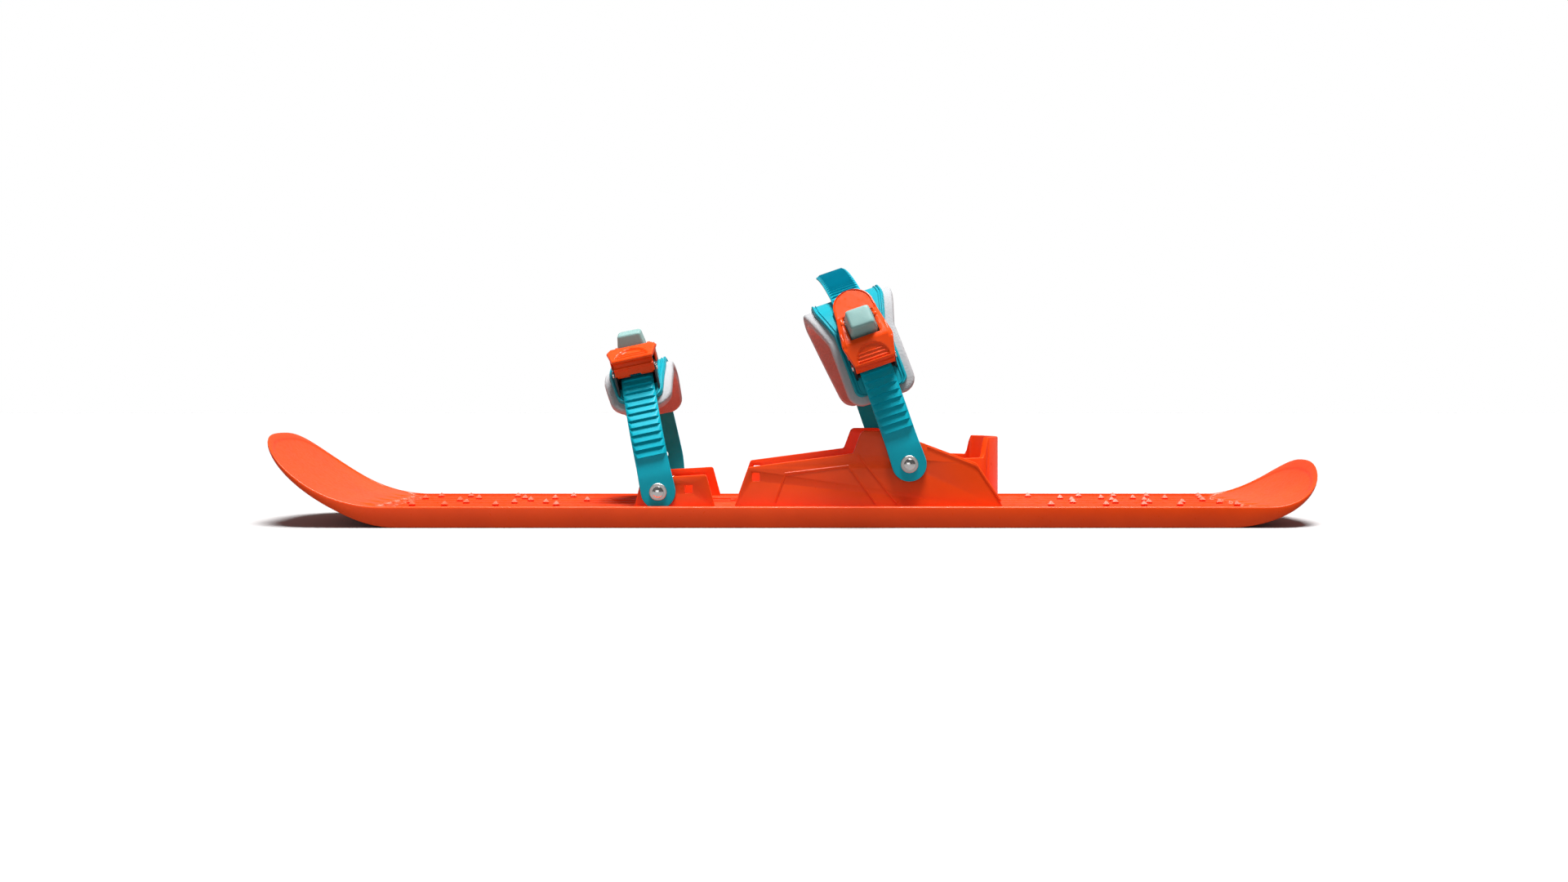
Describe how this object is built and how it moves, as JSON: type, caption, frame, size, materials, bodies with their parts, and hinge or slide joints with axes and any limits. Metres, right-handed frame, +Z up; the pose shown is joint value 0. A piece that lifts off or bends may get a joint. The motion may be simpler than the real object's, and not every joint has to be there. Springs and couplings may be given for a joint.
{
  "type": "mini ski",
  "caption": "Short moulded ski with a heel cup, side walls and two padded ratchet straps that hold a shoe or boot.",
  "frame": {"origin": "centre of the ski's length and width, on the ground under the flat sole", "axes": "+X towards the tail, +Y across the ski to the side without the buckles, +Z up"},
  "size_m": [0.564, 0.1189, 0.1434],
  "materials": {
    "ski_shell": "satin orange moulded plastic",
    "bolt": "polished steel",
    "washer": "turned steel",
    "nut": "bright steel",
    "strap": "teal flexible plastic",
    "pad_plate": "bright teal moulded plastic",
    "pad_foam": "pale grey closed-cell foam",
    "pad_liner": "salmon brushed fabric",
    "buckle_base": "black coated steel",
    "lever": "satin orange moulded plastic",
    "release_button": "mint moulded plastic",
    "pin": "polished steel",
    "spring": "spring steel",
    "pawl": "hardened steel"
  },
  "bodies": {
    "ski": {"ski_body": "ski_shell", "pivot_bolts": "bolt", "pivot_washers": "washer", "pivot_nuts": "nut"},
    "front_strap": {"front_anchor_strap": "strap", "front_pad_plate": "pad_plate", "front_pad_foam": "pad_foam", "front_pad_liner": "pad_liner", "front_adjuster_screw": "bolt", "front_adjuster_nut": "nut", "front_buckle_base": "buckle_base", "front_buckle_rivets": "pin", "front_lever_pin": "pin", "front_lock_pawl_pin": "pin", "front_lever_spring": "spring"},
    "front_ladder": {"front_ladder_strap": "strap"},
    "front_lever": {"front_lever": "lever", "front_drive_pawl_pin": "pin", "front_button_pin": "pin", "front_button_spring": "spring"},
    "front_drive_pawl": {"front_drive_pawl": "pawl"},
    "front_release_button": {"front_release_button": "release_button"},
    "front_lock_pawl": {"front_lock_pawl": "pawl"},
    "rear_strap": {"rear_anchor_strap": "strap", "rear_pad_plate": "pad_plate", "rear_pad_foam": "pad_foam", "rear_pad_liner": "pad_liner", "rear_adjuster_screw": "bolt", "rear_adjuster_nut": "nut", "rear_buckle_base": "buckle_base", "rear_buckle_rivets": "pin", "rear_lever_pin": "pin", "rear_lock_pawl_pin": "pin", "rear_lever_spring": "spring"},
    "rear_ladder": {"rear_ladder_strap": "strap"},
    "rear_lever": {"rear_lever": "lever", "rear_drive_pawl_pin": "pin", "rear_button_pin": "pin", "rear_button_spring": "spring"},
    "rear_drive_pawl": {"rear_drive_pawl": "pawl"},
    "rear_release_button": {"rear_release_button": "release_button"},
    "rear_lock_pawl": {"rear_lock_pawl": "pawl"}
  },
  "joints": [
    {"name": "front_strap_tilt", "type": "hinge", "parent": "ski", "child": "front_strap", "pos_m": [-0.0702, 0, 0.0183], "axis": [0, 1, 0], "range_deg": [-55, 38]},
    {"name": "front_ladder_tilt", "type": "hinge", "parent": "ski", "child": "front_ladder", "pos_m": [-0.0702, 0, 0.0183], "axis": [0, 1, 0], "range_deg": [-55, 38]},
    {"name": "front_lever_lift", "type": "hinge", "parent": "front_strap", "child": "front_lever", "pos_m": [-0.08359, -0.03499, 0.08128], "axis": [0.9781, 0, 0.2079], "range_deg": [0, 65], "stiffness_Nm_per_rad": 0.01, "springref_deg": -22.92},
    {"name": "front_drive_pawl_swing", "type": "hinge", "parent": "front_lever", "child": "front_drive_pawl", "pos_m": [-0.08447, -0.02955, 0.08541], "axis": [0.9781, 0, 0.2079], "range_deg": [0, 20], "stiffness_Nm_per_rad": 0.002, "springref_deg": -17.19},
    {"name": "front_button_press", "type": "hinge", "parent": "front_lever", "child": "front_release_button", "pos_m": [-0.08626, -0.01595, 0.09384], "axis": [0.9781, 0, 0.2079], "range_deg": [0, 8], "stiffness_Nm_per_rad": 0.05, "springref_deg": -11.46},
    {"name": "front_lock_pawl_swing", "type": "hinge", "parent": "front_strap", "child": "front_lock_pawl", "pos_m": [-0.08539, -0.01639, 0.08975], "axis": [0.9781, 0, 0.2079], "range_deg": [0, 8], "stiffness_Nm_per_rad": 0.002, "springref_deg": -17.19},
    {"name": "rear_strap_tilt", "type": "hinge", "parent": "ski", "child": "rear_strap", "pos_m": [0.0598, 0, 0.0326], "axis": [0, 1, 0], "range_deg": [-20, 50]},
    {"name": "rear_ladder_tilt", "type": "hinge", "parent": "ski", "child": "rear_ladder", "pos_m": [0.0598, 0, 0.0326], "axis": [0, 1, 0], "range_deg": [-20, 50]},
    {"name": "rear_lever_lift", "type": "hinge", "parent": "rear_strap", "child": "rear_lever", "pos_m": [0.04144, -0.05198, 0.08593], "axis": [0.9455, 0, 0.3256], "range_deg": [0, 65], "stiffness_Nm_per_rad": 0.01, "springref_deg": -22.92},
    {"name": "rear_drive_pawl_swing", "type": "hinge", "parent": "rear_lever", "child": "rear_drive_pawl", "pos_m": [0.0392, -0.05142, 0.09242], "axis": [0.9455, 0, 0.3256], "range_deg": [0, 20], "stiffness_Nm_per_rad": 0.002, "springref_deg": -17.19},
    {"name": "rear_button_press", "type": "hinge", "parent": "rear_lever", "child": "rear_release_button", "pos_m": [0.03404, -0.04858, 0.10741], "axis": [0.9455, 0, 0.3256], "range_deg": [0, 8], "stiffness_Nm_per_rad": 0.05, "springref_deg": -11.46},
    {"name": "rear_lock_pawl_swing", "type": "hinge", "parent": "rear_strap", "child": "rear_lock_pawl", "pos_m": [0.03507, -0.04579, 0.10443], "axis": [0.9455, 0, 0.3256], "range_deg": [0, 8], "stiffness_Nm_per_rad": 0.002, "springref_deg": -17.19}
  ],
  "couplings": [
    {"joint": "front_ladder_tilt", "follows": "front_strap_tilt", "ratio": 1},
    {"joint": "rear_ladder_tilt", "follows": "rear_strap_tilt", "ratio": 1}
  ]
}
